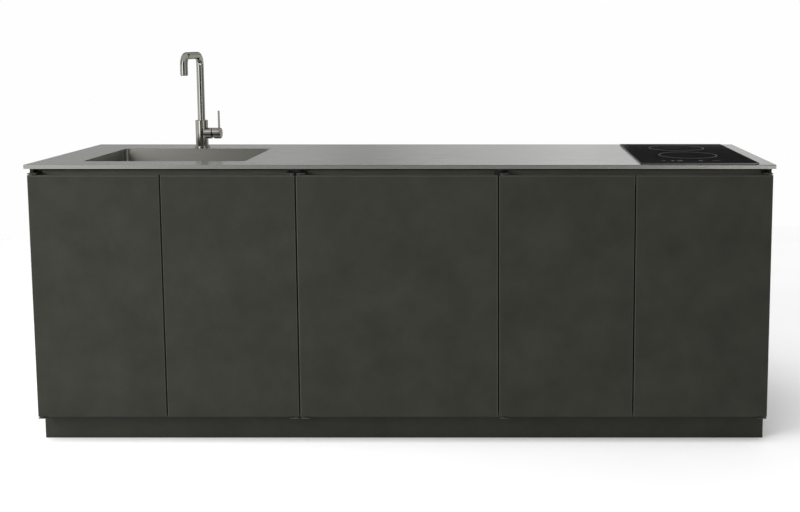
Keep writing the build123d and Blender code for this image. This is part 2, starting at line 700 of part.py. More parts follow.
# Mixer cap: a thimble with a slanted rim, so that it can tilt without touching the branch
cap_gap = 1.0
cap_rim = (mixer_branch + cap_gap, mixer_pivot)
rim_slant = degrees(atan2(cap_rim[1] - cap_rim[0], 2 * mixer_radius))
cap_start = mixer_branch
cap_wall = 2.0
cap_round = 5.0
cap_from_pivot = 2.0
cap_solid_from = mixer_pivot + cap_from_pivot
seat_radius = ball_radius + 2 * running_gap
seat_edge = sqrt(seat_radius**2 - (cap_solid_from - mixer_pivot) ** 2)
lever_socket = 10.0
lever_foot = mixer_z + lever_socket
lever_round = 1.5
mixer_axis = Axis((tap_x, tap_y, mixer_z), (1, 0, 0))
with BuildPart() as mixer_cap:
    with BuildSketch(Plane(origin=(tap_x, tap_y, mixer_z), x_dir=(1, 0, 0), z_dir=(0, -1, 0))):
        with BuildLine():
            Polyline(
                (cap_solid_from, seat_edge),
                (cap_solid_from, mixer_radius - cap_wall),
                (cap_start, mixer_radius - cap_wall),
                (cap_start, mixer_radius),
                (mixer_end - cap_round, mixer_radius),
            )
            RadiusArc(
                (mixer_end - cap_round, mixer_radius),
                (mixer_end, mixer_radius - cap_round),
                cap_round,
            )
            Polyline(
                (mixer_end, mixer_radius - cap_round),
                (mixer_end, 0),
                (mixer_pivot + seat_radius, 0),
            )
            RadiusArc((mixer_pivot + seat_radius, 0), (cap_solid_from, seat_edge), -seat_radius)
        make_face()
    revolve(axis=mixer_axis)
    with Locations(Location((tap_x + middle(cap_rim), tap_y, mixer_z), (0, -rim_slant, 0))):
        cut = 4 * mixer_radius
        Box(cut, cut, cut, align=(Align.MAX, Align.CENTER, Align.CENTER), mode=Mode.SUBTRACT)
    lever_hole = (lever_foot, mixer_z + mixer_radius)
    rod("Z", tap_x + lever_offset, tap_y, lever_hole, lever_radius, mode=Mode.SUBTRACT)
save(mixer_cap, "mixer_cap")

with BuildPart() as mixer_lever:
    rod("Z", tap_x + lever_offset, tap_y, (lever_foot, top + lever_top), lever_radius)
    fillet(mixer_lever.edges().sort_by(Axis.Z)[-1], radius=lever_round)
save(mixer_lever, "mixer_lever")

# Spout: a bent tube that turns in the tap body
spout_axis_top = top + spout_height - spout_radius
with BuildPart() as spout:
    with BuildLine() as spout_path:
        FilletPolyline(
            (tap_x, tap_y, spout_bottom),
            (tap_x, tap_y, spout_axis_top),
            (tap_x, tap_y - spout_reach, spout_axis_top),
            (tap_x, tap_y - spout_reach, top + spout_tip_height),
            radius=spout_bend,
        )
    with BuildSketch(Plane.XY.offset(spout_bottom)):
        with Locations((tap_x, tap_y)):
            Circle(spout_radius)
            Circle(spout_radius - spout_wall, mode=Mode.SUBTRACT)
    sweep(path=spout_path.wires()[0])
save(spout, "spout")

# Aerator in the end of the spout
aerator_below = 2.0
aerator_above = 10.0
spout_tip = top + spout_tip_height
aerator_z = (spout_tip - aerator_below, spout_tip + aerator_above)
aerator_y = tap_y - spout_reach
jet_radius = 0.9
jet_depth = 4.0
jet_rings = ((3.0, 6), (6.5, 12))
with BuildPart() as aerator:
    rod("Z", tap_x, aerator_y, aerator_z, spout_radius - spout_wall)
    for ring_radius, count in jet_rings:
        with Locations((tap_x, aerator_y, aerator_z[0] + jet_depth / 2)):
            with PolarLocations(ring_radius, count):
                Cylinder(jet_radius, jet_depth, mode=Mode.SUBTRACT)
save(aerator, "aerator")

# Hob glass on a thin seal
glass_z = (top + seal, top + seal + glass)
hob_middle = (hob_centre_x, middle(hob_y))
hob_depth = hob_y[1] - hob_y[0]
glass_corner = 5.0
glass_bevel = 1.0
with BuildPart() as hob_glass:
    with BuildSketch(Plane.XY.offset(glass_z[0])):
        with Locations(hob_middle):
            RectangleRounded(hob_width, hob_depth, glass_corner)
    extrude(amount=glass)
    chamfer(hob_glass.faces().sort_by(Axis.Z)[-1].edges(), length=glass_bevel)
save(hob_glass, "hob_glass")

seal_edge = 2.0
seal_width = 4.0
with BuildPart() as hob_seal:
    board((hob_span[0] + seal_edge, hob_span[1] - seal_edge),
          (hob_y[0] + seal_edge, hob_y[1] - seal_edge), (top, glass_z[0]))
    inset = seal_edge + seal_width
    board((hob_span[0] + inset, hob_span[1] - inset),
          (hob_y[0] + inset, hob_y[1] - inset), (top, glass_z[0]), mode=Mode.SUBTRACT)
save(hob_seal, "hob_seal")

# Hob casing: a deep tray for the coils and a shallow tray in front for the touch board
casing_wall = 1.2
casing_floor = glass_z[0] - casing_depth
touch_floor = glass_z[0] - touch_tray_depth
with BuildPart() as hob_casing:
    board(casing_x, casing_y, (casing_floor, glass_z[0]))
    board(casing_x, (touch_tray_front, casing_y[0]), (touch_floor, glass_z[0]))
    hollow_x = (casing_x[0] + casing_wall, casing_x[1] - casing_wall)
    hollow_y = (casing_y[0] + casing_wall, casing_y[1] - casing_wall)
    board(hollow_x, hollow_y, (casing_floor + casing_wall, glass_z[0]), mode=Mode.SUBTRACT)
    touch_y = (touch_tray_front + casing_wall, hollow_y[0])
    board(hollow_x, touch_y, (touch_floor + casing_wall, glass_z[0]), mode=Mode.SUBTRACT)
save(hob_casing, "hob_casing")

board_side_gap = 20.0
board_front_gap = 3.0
board_back_gap = 6.0
board_x = (hollow_x[0] + board_side_gap, hollow_x[1] - board_side_gap)
board_y = (touch_y[0] + board_front_gap, touch_y[1] - board_back_gap)
with BuildPart() as hob_touch_board:
    board(board_x, board_y, (touch_floor + casing_wall, glass_z[0]))
save(hob_touch_board, "hob_touch_board")

# Induction coils: a flat disc for each zone on a post from the casing's floor
coil_gap = 2.0
coil_thickness = 5.0
coil_z = (glass_z[0] - coil_gap - coil_thickness, glass_z[0] - coil_gap)
coil_post_radius = 25.0
with BuildPart() as hob_coils:
    for y in zone_centres_y:
        rod("Z", hob_centre_x, y, coil_z, zone_radius)
        rod("Z", hob_centre_x, y, (casing_floor + casing_wall, coil_z[0]), coil_post_radius)
save(hob_coils, "hob_coils")

# Clamps that hold the casing up against the underside of the worktop
clamp_wall = 2.0
clamp_reach = 18.0
clamp_width = 24.0
clamp_drop = 26.0
clamp_y = (-110.0, 110.0)
with BuildPart() as hob_clamps:
    for side, edge in ((-1, casing_x[0]), (1, casing_x[1])):
        leg_x = tuple(sorted((edge, edge + side * clamp_wall)))
        arm_x = tuple(sorted((edge, edge + side * clamp_reach)))
        for y in clamp_y:
            span_y = (y - clamp_width / 2, y + clamp_width / 2)
            board(leg_x, span_y, (top_underside - clamp_drop, top_underside))
            board(arm_x, span_y, (top_underside - clamp_wall, top_underside))
save(hob_clamps, "hob_clamps")

# Terminal box under the casing, with the gland for the supply lead
terminal_size = (90.0, 60.0, 26.0)
terminal_corner = 4.0
terminal_setback = 10.0
terminal_back = casing_y[1] - terminal_setback
gland_radius = 9.0
gland_bore = 5.0
gland_length = 14.0
terminal_y = (terminal_back - terminal_size[1], terminal_back)
terminal_z = (casing_floor - terminal_size[2], casing_floor)
with BuildPart() as hob_terminal_box:
    terminal_x = (hob_centre_x - terminal_size[0] / 2, hob_centre_x + terminal_size[0] / 2)
    board(terminal_x, terminal_y, terminal_z)
    fillet(hob_terminal_box.edges().filter_by(Axis.Z), radius=terminal_corner)
    gland_y = (terminal_back, terminal_back + gland_length)
    rod("Y", hob_centre_x, gland_y, middle(terminal_z), gland_radius)
    rod("Y", hob_centre_x, gland_y, middle(terminal_z), gland_bore, mode=Mode.SUBTRACT)
save(hob_terminal_box, "hob_terminal_box")
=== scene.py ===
import json
import math

import bmesh
import bpy
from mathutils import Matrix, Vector


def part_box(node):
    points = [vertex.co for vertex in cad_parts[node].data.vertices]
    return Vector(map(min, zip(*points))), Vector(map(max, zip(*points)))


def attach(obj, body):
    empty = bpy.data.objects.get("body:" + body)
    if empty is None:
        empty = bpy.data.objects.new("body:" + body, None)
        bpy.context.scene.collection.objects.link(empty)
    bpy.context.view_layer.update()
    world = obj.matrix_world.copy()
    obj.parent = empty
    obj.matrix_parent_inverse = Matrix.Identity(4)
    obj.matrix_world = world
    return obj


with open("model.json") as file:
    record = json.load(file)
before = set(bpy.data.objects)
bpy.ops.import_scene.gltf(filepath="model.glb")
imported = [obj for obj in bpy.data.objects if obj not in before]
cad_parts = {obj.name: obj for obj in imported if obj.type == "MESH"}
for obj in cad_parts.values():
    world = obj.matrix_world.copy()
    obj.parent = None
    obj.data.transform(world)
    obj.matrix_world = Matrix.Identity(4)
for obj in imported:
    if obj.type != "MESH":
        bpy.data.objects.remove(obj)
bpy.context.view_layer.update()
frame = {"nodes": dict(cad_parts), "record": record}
nodes = frame["nodes"]
CABINETS = ("sink", "centre", "hob")

# Camera: the place, tilt, lens and shift that frame the kitchen as the photograph does
CAMERA_PLACE = (0.298, -3.3463, 1.219)
CAMERA_TILT = math.radians(5.981)
CAMERA_LENS = 47.027
CAMERA_SHIFT = (-0.1266, -0.135)

# Studio light
SKY_LEVEL = 0.5
SUN_LEVEL = 1.5
SUN_AIM = (0.18, 0.28, -1.0)
SUN_SOFTNESS = math.radians(42)
KEY_PLACE = (-2.6, -2.4, 1.9)
KEY_AIM = (-0.7, -0.3, 0.5)
KEY_SIZE = 1.6
KEY_POWER = 84.0

# Floor
FLOOR_RADIUS = 4.0
FLOOR_SIDES = 96
FLOOR_DROP = 0.0005
FLOOR_DARK = (0.93, 0.93, 0.93)
FLOOR_LIGHT = (0.95, 0.95, 0.95)
FLOOR_CLOUD = 3
FLOOR_ROUGHNESS = 0.9
FLOOR_GLOW = 0.04

# The rays that see the studio: from the camera, and from shiny and clear surfaces
SEEN_RAYS = ("Is Camera Ray", "Is Glossy Ray", "Is Transmission Ray")

# The studio round the object: bearing from the front in degrees, and the brightness of its panels
STUDIO_RING = (
    (-176, 0.48), (-172.5, 0.26), (-169, 0.42), (-158, 0.3), (-130, 0.7), (-106, 0.9),
    (-61, 0.3), (-52, 0.2), (-46, 0.6), (-41, 2.5), (-22, 2.5), (-20, 1.9), (-18, 0.7),
    (-15, 0.2), (-8, 0.08), (4, 0.03), (30, 0.04), (37, 0.12), (40, 1.2), (50, 1.2), (54, 0.5),
    (68, 0.5), (78, 0.18), (95, 0.12), (130, 0.8), (142, 0.8), (150, 0.06), (161, 0.08),
    (166, 0.85), (174.5, 0.8), (180, 0.58),
)
FRONT_ON_GRADIENT = 0.25
FULL_TURN = 360

# The white sweep below the panels: sine of the elevation where it ends, and where it rises higher
SWEEP_TOP = (-0.108, -0.102)
RAISED_TOP = (0.091, 0.097)
RAISED_SIDES = (
    (-152, 1.0), (-148, 0.0), (-112, 0.0), (-108, 1.0),
    (-63, 1.0), (-59, 0.0), (157, 0.0), (161, 1.0),
)
SWEEP_TONE = (0.99, 0.99, 0.99, 1)

# The soft pale ceiling: sine of the elevation over which it comes in, and its tone
CEILING_RISE = (0.5, 0.85)
CEILING_TONE = (0.72, 0.72, 0.72, 1)

# A dark card above the sweep behind the right end, which the hob glass mirrors
CARD_BEARING = ((164, 0.0), (165.5, 1.0), (174, 1.0), (175.5, 0.0))
CARD_HEIGHT = ((0.093, 0.0), (0.097, 1.0), (0.123, 1.0), (0.135, 0.0))
CARD_TONE = (0.012, 0.012, 0.012, 1)

# A strip light low in the sweep before the right end, which the worktop's front edge mirrors
STRIP_BEARING = ((8, 0.0), (15, 1.0), (36, 1.0), (40, 0.0))
STRIP_FOOT = (-0.22, -0.2)
STRIP_TOP = (-0.114, -0.108)
STRIP_TONE = (5.0, 5.0, 5.0, 1)

# Noise: the part of its range that the tones spread over, and the share of grain in a finish
NOISE_SPREAD = (0.3, 0.7)
GRAIN_SHARE = 0.35
EVEN = (1, 1, 1)
ALONG_X = (1, 120, 120)
ALONG_Z = (120, 120, 1)

# Laminate: the mottled tones, and the painted highlight, a paler line along the edges of a door,
# with its place as shares of its size
LAMINATE_DARK = (0.0184, 0.0191, 0.014)
LAMINATE_LIGHT = (0.0316, 0.0327, 0.0254)
LAMINATE_GRAIN = 600
LAMINATE_GRAIN_SHARE = 0.25
LAMINATE_MOTTLE = 9
LAMINATE_ROUGHNESS = (0.5, 0.62)
LAMINATE_SHINE = 0.16
LAMINATE_RELIEF = 0.00008
EDGE_HIGHLIGHT_DARK = (0.046, 0.047, 0.039)
EDGE_HIGHLIGHT_LIGHT = (0.06, 0.061, 0.052)
EDGE_HIGHLIGHT_SIDES = (0.4935, 0.4965)
EDGE_HIGHLIGHT_TOP = (0.9945, 0.9975)

# Worktop: the painted shade on its front edge, its tone, its strength, and the share of the depth
# that it takes
SHEET_EDGE_SHADE = (0.2, 0.198, 0.18, 1)
SHEET_EDGE_SHADE_SHARE = 0.85
SHEET_SHADE_FRONT = (0.0008, 0.002)

# Marks on the hob: places across the glass as shares of its width, and distances from its front
CONTROL_SHARES = (0.217, 0.296, 0.358, 0.535)
CONTROL_FROM_FRONT = 0.058
ZONE_FROM_FRONT = (0.21, 0.426)
ZONE_RADIUS = 0.09
ZONE_LINE = 0.0012
MARK_PROUD = 0.0001
MARK_SUNK = 0.0002

# Touch marks: a dash, a plus of two arms and an upright, and two rings by their radii
MARK_STROKE = 0.0022
DASH_LENGTH = 0.012
PLUS_ARM = 0.005
PLUS_ARM_PLACE = 0.0036
PLUS_HEIGHT = 0.012
LARGE_RING = (0.0075, 0.0055)
SMALL_RING = (0.006, 0.0042)
MARK_SIDES = 40

# Display: four bars from just left of its place
DISPLAY_SHARE = 0.66
DISPLAY_BAR = (0.0035, 0.005)
DISPLAY_STEP = 0.006
DISPLAY_STEPS = (-1, 0, 1, 2)
DISPLAY_DARK = (0.12, 0.008, 0.012)
DISPLAY_LIGHT = (0.22, 0.014, 0.02)
DISPLAY_GRAIN = 400
DISPLAY_GLOW = 0.2

# Black seal under the worktop, along the top of the finger channel, which also stands in for the
# shade line there, with a share of its depth rounded
SHADE_SEAL_HEIGHT = 0.0095
SHADE_SEAL_DEPTH = 0.002
SHADE_SEAL_ROUND = 0.5
SHADE_SEAL_STEPS = 8
CHANNEL_WALL = 0.002

# Screws of the back panels: rings of (share of radius, share of height, depth of the lobes)
SCREW_RADIUS = 0.0045
SCREW_HEIGHT = 0.002
SCREW_SPACING = 0.17
SCREW_FROM_EDGE = 0.006
SCREW_PROFILE = (
    (0.32, 0.3, 0.14), (0.34, 0.97, 0.14), (0.62, 0.92, 0.0),
    (0.86, 0.66, 0.0), (1.0, 0.2, 0.0), (1.0, 0.0, 0.0),
)
SCREW_SIDES = 24
SCREW_LOBES = 6

# Service holes and waste pipe through the back: x, z and radius
HOSE_HOLE = (-0.572, 0.48, 0.03)
LEAD_HOLE = (0.884, 0.64, 0.02)
WASTE_PIPE = (-0.722, 0.53, 0.02)

# Grommets: the sleeve's wall, the flange, and the shares of its reach and rise left by its bevel
GROMMET_SLEEVE = 0.0025
GROMMET_LIP = 0.005
GROMMET_RISE = 0.003
BEVEL_REACH = 0.7
BEVEL_RISE = 0.5

# Collar of the waste pipe: its outer profile as shares of its reach and rise
COLLAR_GAP = 0.0001
COLLAR_REACH = 0.012
COLLAR_RISE = 0.0045
COLLAR_PROFILE = ((0.25, 1.0), (0.6, 0.7), (1.0, 0.25), (1.0, 0.0))

SHARP_ANGLE = math.radians(40)


def material(name):
    """A new node material and its main shader."""
    made = bpy.data.materials.new(name)
    made.use_nodes = True
    return made, made.node_tree.nodes["Principled BSDF"]


def add(tree, kind, **sockets):
    """A new shader node with values for its inputs, each named as the socket with _ for a space."""
    node = tree.nodes.new(kind)
    for name, value in sockets.items():
        node.inputs[name.replace("_", " ")].default_value = value
    return node


def reckon(tree, operation, *values):
    """One arithmetic step on shader values, each a socket or a number."""
    node = add(tree, "ShaderNodeMath")
    node.operation = operation
    for entry, value in zip(node.inputs, values):
        if isinstance(value, (int, float)):
            entry.default_value = value
        else:
            tree.links.new(value, entry)
    return node.outputs[0]


def noise(tree, scale, stretch=EVEN, detail=4.0, coarse=0.5):
    """A noise value that rides on the object, in features per metre along each axis."""
    place = add(tree, "ShaderNodeTexCoord")
    spread = add(tree, "ShaderNodeMapping", Scale=stretch)
    grain = add(tree, "ShaderNodeTexNoise", Scale=scale, Detail=detail, Roughness=coarse)
    tree.links.new(place.outputs["Object"], spread.inputs["Vector"])
    tree.links.new(spread.outputs["Vector"], grain.inputs["Vector"])
    return grain.outputs[0]


def blend_values(tree, first, second, share):
    """Two noise values mixed, with the given share of the second."""
    mix = add(tree, "ShaderNodeMix")
    mix.inputs["Factor"].default_value = share
    tree.links.new(first, mix.inputs["A"])
    tree.links.new(second, mix.inputs["B"])
    return mix.outputs["Result"]


def blend_colours(tree, share, first, second):
    """Two colours mixed by a share of the second, which is a socket or a plain colour."""
    mix = add(tree, "ShaderNodeMix")
    mix.data_type = "RGBA"
    share_entry, first_entry, second_entry = (mix.inputs[place] for place in (0, 6, 7))
    tree.links.new(share, share_entry)
    tree.links.new(first, first_entry)
    if isinstance(second, tuple):
        second_entry.default_value = second
    else:
        tree.links.new(second, second_entry)
    colour_result = mix.outputs[2]
    return colour_result


def two_tone(tree, value, dark, light):
    """A colour that runs from dark to light with a noise value."""
    ramp = add(tree, "ShaderNodeValToRGB")
    for stop, place, colour in zip(ramp.color_ramp.elements, NOISE_SPREAD, (dark, light)):
        stop.position = place
        stop.color = (*colour, 1)
    tree.links.new(value, ramp.inputs["Fac"])
    return ramp.outputs["Color"]


def ranged(tree, value, low, high, spread=NOISE_SPREAD):
    """A value mapped to run between low and high as it runs over the spread."""
    span = add(tree, "ShaderNodeMapRange", To_Min=low, To_Max=high)
    span.inputs["From Min"].default_value, span.inputs["From Max"].default_value = spread
    tree.links.new(value, span.inputs["Value"])
    return span.outputs["Result"]


def bumped(tree, shader, value, depth):
    """Relief of the given depth in metres on the shader's normal."""
    bump = add(tree, "ShaderNodeBump", Distance=depth)
    tree.links.new(value, bump.inputs["Height"])
    tree.links.new(bump.outputs["Normal"], shader.inputs["Normal"])


def ray_kinds(tree, *kinds):
    """One for rays of any of these kinds, else nought."""
    path = add(tree, "ShaderNodeLightPath")
    result = path.outputs[kinds[0]]
    for kind in kinds[1:]:
        result = reckon(tree, "MAXIMUM", result, path.outputs[kind])
    return result


def stepped(tree, value, stops):
    """A grey ramp over the value, from (place, level) stops in rising order."""
    node = add(tree, "ShaderNodeValToRGB")
    ramp = node.color_ramp
    while len(ramp.elements) < len(stops):
        ramp.elements.new(0.5)
    for element, (place, level) in zip(ramp.elements, stops):
        element.position = place
        element.color = (level, level, level, 1)
    tree.links.new(value, node.inputs["Fac"])
    return node.outputs["Color"]


def place_on_box(tree):
    """The node that gives the place within the object's box, from nought to one along each axis."""
    place = add(tree, "ShaderNodeSeparateXYZ")
    tree.links.new(add(tree, "ShaderNodeTexCoord").outputs["Generated"], place.inputs[0])
    return place


def finish(name, dark, light, cloud, grain, roughness, relief=None, **sockets):
    """A two-tone surface: cloud and grain are (scale, stretch), and roughness is a range."""
    made, shader = material(name)
    tree = made.node_tree
    fine = noise(tree, *grain)
    tone = blend_values(tree, noise(tree, *cloud), fine, GRAIN_SHARE)
    tree.links.new(two_tone(tree, tone, dark, light), shader.inputs["Base Color"])
    tree.links.new(ranged(tree, fine, *roughness), shader.inputs["Roughness"])
    if relief:
        bumped(tree, shader, fine, relief)
    for socket, value in sockets.items():
        shader.inputs[socket.replace("_", " ")].default_value = value
    return made


def painted_shade_front(made, share):
    """Painted shade on the front edge of a sheet: a darker tone than its face, by a share of the
    colour.
    """
    tree = made.node_tree
    colour = tree.nodes["Principled BSDF"].inputs["Base Color"]
    face = colour.links[0].from_socket
    front = ranged(tree, place_on_box(tree).outputs["Y"], share, 0.0, SHEET_SHADE_FRONT)
    tree.links.new(blend_colours(tree, front, face, SHEET_EDGE_SHADE), colour)


def brushed(made, axis, turn, amount):
    """Brush marks that draw highlights out along the way round an axis, or across it."""
    tree = made.node_tree
    shader = tree.nodes["Principled BSDF"]
    around = add(tree, "ShaderNodeTangent")
    around.direction_type = "RADIAL"
    around.axis = axis
    tree.links.new(around.outputs[0], shader.inputs["Tangent"])
    shader.inputs["Anisotropic"].default_value = amount
    shader.inputs["Anisotropic Rotation"].default_value = turn


def edge_highlight_share(tree):
    """One on a thin line along a door's upright and top edges, where the painted highlight goes,
    nought elsewhere.
    """
    place = place_on_box(tree)
    from_middle = reckon(tree, "ABSOLUTE", reckon(tree, "SUBTRACT", place.outputs["X"], 0.5))
    sides = ranged(tree, from_middle, 0.0, 1.0, EDGE_HIGHLIGHT_SIDES)
    top = ranged(tree, place.outputs["Z"], 0.0, 1.0, EDGE_HIGHLIGHT_TOP)
    return reckon(tree, "MAXIMUM", sides, top)


def laminate(name, has_edge_highlights):
    """Matt stone-like laminate, with painted highlights as paler lines along the edges of a door.
    """
    made, shader = material(name)
    tree = made.node_tree
    fine = noise(tree, LAMINATE_GRAIN)
    mottle = noise(tree, LAMINATE_MOTTLE, detail=7.0, coarse=0.7)
    tone = blend_values(tree, mottle, fine, LAMINATE_GRAIN_SHARE)
    colour = two_tone(tree, tone, LAMINATE_DARK, LAMINATE_LIGHT)
    if has_edge_highlights:
        # Painted highlight: a paler tone along the door's edges, where they would catch the light
        painted_highlight = two_tone(tree, tone, EDGE_HIGHLIGHT_DARK, EDGE_HIGHLIGHT_LIGHT)
        colour = blend_colours(tree, edge_highlight_share(tree), colour, painted_highlight)
    tree.links.new(colour, shader.inputs["Base Color"])
    tree.links.new(ranged(tree, fine, *LAMINATE_ROUGHNESS), shader.inputs["Roughness"])
    shader.inputs["Specular IOR Level"].default_value = LAMINATE_SHINE
    bumped(tree, shader, fine, LAMINATE_RELIEF)
    return made


# Looks of the material slots
slot_looks = {
    "front_laminate": laminate("front_laminate", has_edge_highlights=True),
    "carcass_laminate": laminate("carcass_laminate", has_edge_highlights=False),
    "dark_metal": finish(
        "dark_metal", dark=(0.037, 0.0375, 0.031), light=(0.046, 0.0465, 0.039),
        cloud=(12, EVEN), grain=(900, EVEN), roughness=(0.42, 0.52), relief=0.00004,
        Specular_IOR_Level=0.2),
    "worktop_steel": finish(
        "worktop_steel", dark=(0.46, 0.46, 0.435), light=(0.53, 0.53, 0.505),
        cloud=(4, EVEN), grain=(6, ALONG_X), roughness=(0.24, 0.28), Metallic=1.0),
    "tap_steel": finish(
        "tap_steel", dark=(0.355, 0.35, 0.32), light=(0.385, 0.38, 0.348),
        cloud=(30, EVEN), grain=(3, ALONG_Z), roughness=(0.09, 0.11), Metallic=1.0,
        Specular_Tint=(0.5, 0.5, 0.47, 1)),
    "core_board": finish(
        "core_board", dark=(0.24, 0.15, 0.08), light=(0.36, 0.25, 0.15),
        cloud=(20, EVEN), grain=(20, ALONG_X), roughness=(0.5, 0.7), relief=0.0001),
    "black_glass": finish(
        "black_glass", dark=(0.0105, 0.0105, 0.0105), light=(0.0125, 0.0125, 0.0125),
        cloud=(6, EVEN), grain=(300, EVEN), roughness=(0.02, 0.035), relief=0.0000002),
    "zinc_steel": finish(
        "zinc_steel", dark=(0.46, 0.47, 0.48), light=(0.62, 0.63, 0.64),
        cloud=(60, EVEN), grain=(250, EVEN), roughness=(0.28, 0.42), relief=0.00003,
        Metallic=1.0),
    "black_plastic": finish(
        "black_plastic", dark=(0.014, 0.014, 0.014), light=(0.024, 0.024, 0.024),
        cloud=(40, EVEN), grain=(1200, EVEN), roughness=(0.42, 0.58), relief=0.00005),
    "white_plastic": finish(
        "white_plastic", dark=(0.72, 0.72, 0.69), light=(0.8, 0.8, 0.78),
        cloud=(25, EVEN), grain=(400, EVEN), roughness=(0.25, 0.38), relief=0.00002),
    "rubber": finish(
        "rubber", dark=(0.008, 0.008, 0.008), light=(0.016, 0.016, 0.016),
        cloud=(60, EVEN), grain=(1500, EVEN), roughness=(0.65, 0.85), relief=0.00006,
        Specular_IOR_Level=0.2),
    "brass": finish(
        "brass", dark=(0.55, 0.38, 0.14), light=(0.7, 0.52, 0.22),
        cloud=(80, EVEN), grain=(300, EVEN), roughness=(0.25, 0.4), relief=0.00002,
        Metallic=1.0),
    "copper": finish(
        "copper", dark=(0.55, 0.24, 0.12), light=(0.72, 0.36, 0.2),
        cloud=(80, EVEN), grain=(500, EVEN), roughness=(0.3, 0.45), relief=0.00004,
        Metallic=1.0),
}
brushed(slot_looks["worktop_steel"], axis="X", turn=0.0, amount=0.4)
# Painted shade: the worktop's front edge darker than its top
painted_shade_front(slot_looks["worktop_steel"], SHEET_EDGE_SHADE_SHARE)

# Looks of single nodes that differ from their slot's
bowl_steel = finish(
    "bowl_steel", dark=(0.4, 0.395, 0.36), light=(0.46, 0.455, 0.42),
    cloud=(6, EVEN), grain=(6, ALONG_X), roughness=(0.34, 0.38), Metallic=1.0)
brushed(bowl_steel, axis="Z", turn=0.25, amount=0.95)
# The finger channel in a paler tone than the laminate: painted light that lifts the recess out of
# the shade under the worktop
channel_painted_light = finish(
    "channel_painted_light", dark=(0.12, 0.122, 0.104), light=(0.15, 0.1525, 0.13),
    cloud=(12, EVEN), grain=(900, EVEN), roughness=(0.42, 0.52), relief=0.00004,
    Specular_IOR_Level=0.2)
node_looks = {
    "sink_bowl": bowl_steel, "waste_flange": bowl_steel, "strainer_basket": bowl_steel,
    "finger_channel": channel_painted_light,
}
for part in frame["record"]["subparts"]:
    mesh = nodes[part["node"]].data
    mesh.materials.clear()
    mesh.materials.append(node_looks.get(part["node"], slot_looks[part["material_slot"]]))


def finished_piece(name, shape, look):
    """A piece of the carcass from its shape, with its look."""
    bmesh.ops.recalc_face_normals(shape, faces=shape.faces)
    mesh = bpy.data.meshes.new(name)
    shape.to_mesh(mesh)
    shape.free()
    mesh.materials.append(look)
    mesh.shade_smooth()
    mesh.set_sharp_from_angle(angle=SHARP_ANGLE)
    piece = bpy.data.objects.new(name, mesh)
    bpy.context.scene.collection.objects.link(piece)
    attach(piece, "carcass")


def join_rings(shape, rings, closed=False):
    """Faces between rings of points, and from the last back to the first if closed."""
    following = rings[1:] + rings[:1] if closed else rings[1:]
    for first, second in zip(rings, following):
        for i in range(len(first)):
            j = (i + 1) % len(first)
            shape.faces.new((first[i], first[j], second[j], second[i]))


# Printed marks on the hob glass
zone_print = finish(
    "zone_print", dark=(0.11, 0.11, 0.11), light=(0.17, 0.17, 0.17),
    cloud=(60, EVEN), grain=(900, EVEN), roughness=(0.3, 0.45), relief=0.000005)
control_print = finish(
    "control_print", dark=(0.12, 0.12, 0.12), light=(0.18, 0.18, 0.18),
    cloud=(60, EVEN), grain=(900, EVEN), roughness=(0.3, 0.45), relief=0.000005)
display_glow, display_shader = material("display_glow")
display_tree = display_glow.node_tree
display_tone = two_tone(
    display_tree, noise(display_tree, DISPLAY_GRAIN), DISPLAY_DARK, DISPLAY_LIGHT)
display_tree.links.new(display_tone, display_shader.inputs["Base Color"])
display_tree.links.new(display_tone, display_shader.inputs["Emission Color"])
display_shader.inputs["Emission Strength"].default_value = DISPLAY_GLOW

glass_low, glass_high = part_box("hob_glass")
glass_middle = (glass_low.x + glass_high.x) / 2
glass_width = glass_high.x - glass_low.x
mark_heights = (glass_high.z - MARK_SUNK, glass_high.z + MARK_PROUD)


def flat_piece(name, loops, look):
    """A thin printed piece: each loop pair is an outer outline and its hole, or None, in metres."""
    shape = bmesh.new()
    for outer, inner in loops:
        low, high = ([shape.verts.new((x, y, z)) for x, y in outer] for z in mark_heights)
        if inner:
            low_hole, high_hole = (
                [shape.verts.new((x, y, z)) for x, y in inner] for z in mark_heights)
            join_rings(shape, [low, high, high_hole, low_hole], closed=True)
        else:
            join_rings(shape, [low, high])
            shape.faces.new(high)
            shape.faces.new(low[::-1])
    finished_piece(name, shape, look)


def circle(x, y, radius, count=128):
    """The points of a circle."""
    turns = [2 * math.pi * i / count for i in range(count)]
    return [(x + radius * math.cos(t), y + radius * math.sin(t)) for t in turns]


def bar(x, y, width, depth):
    """The corners of a small rectangle round its middle."""
    return [
        (x - width / 2, y - depth / 2), (x + width / 2, y - depth / 2),
        (x + width / 2, y + depth / 2), (x - width / 2, y + depth / 2),
    ]


zone_rings = []
for reach in ZONE_FROM_FRONT:
    zone_y = glass_low.y + reach
    zone_rings.append((
        circle(glass_middle, zone_y, ZONE_RADIUS),
        circle(glass_middle, zone_y, ZONE_RADIUS - ZONE_LINE)))
flat_piece("hob_zone_rings", zone_rings, zone_print)

control_y = glass_low.y + CONTROL_FROM_FRONT
dash_x, plus_x, large_x, small_x = (
    glass_low.x + share * glass_width for share in CONTROL_SHARES)
control_marks = [
    (bar(dash_x, control_y, DASH_LENGTH, MARK_STROKE), None),
    (bar(plus_x - PLUS_ARM_PLACE, control_y, PLUS_ARM, MARK_STROKE), None),
    (bar(plus_x + PLUS_ARM_PLACE, control_y, PLUS_ARM, MARK_STROKE), None),
    (bar(plus_x, control_y, MARK_STROKE, PLUS_HEIGHT), None),
]
for ring_x, radii in ((large_x, LARGE_RING), (small_x, SMALL_RING)):
    control_marks.append([circle(ring_x, control_y, radius, MARK_SIDES) for radius in radii])
flat_piece("hob_touch_marks", control_marks, control_print)

display_x = glass_low.x + DISPLAY_SHARE * glass_width
display_bars = [
    (bar(display_x + step * DISPLAY_STEP, control_y, *DISPLAY_BAR), None)
    for step in DISPLAY_STEPS]
flat_piece("hob_display", display_bars, display_glow)
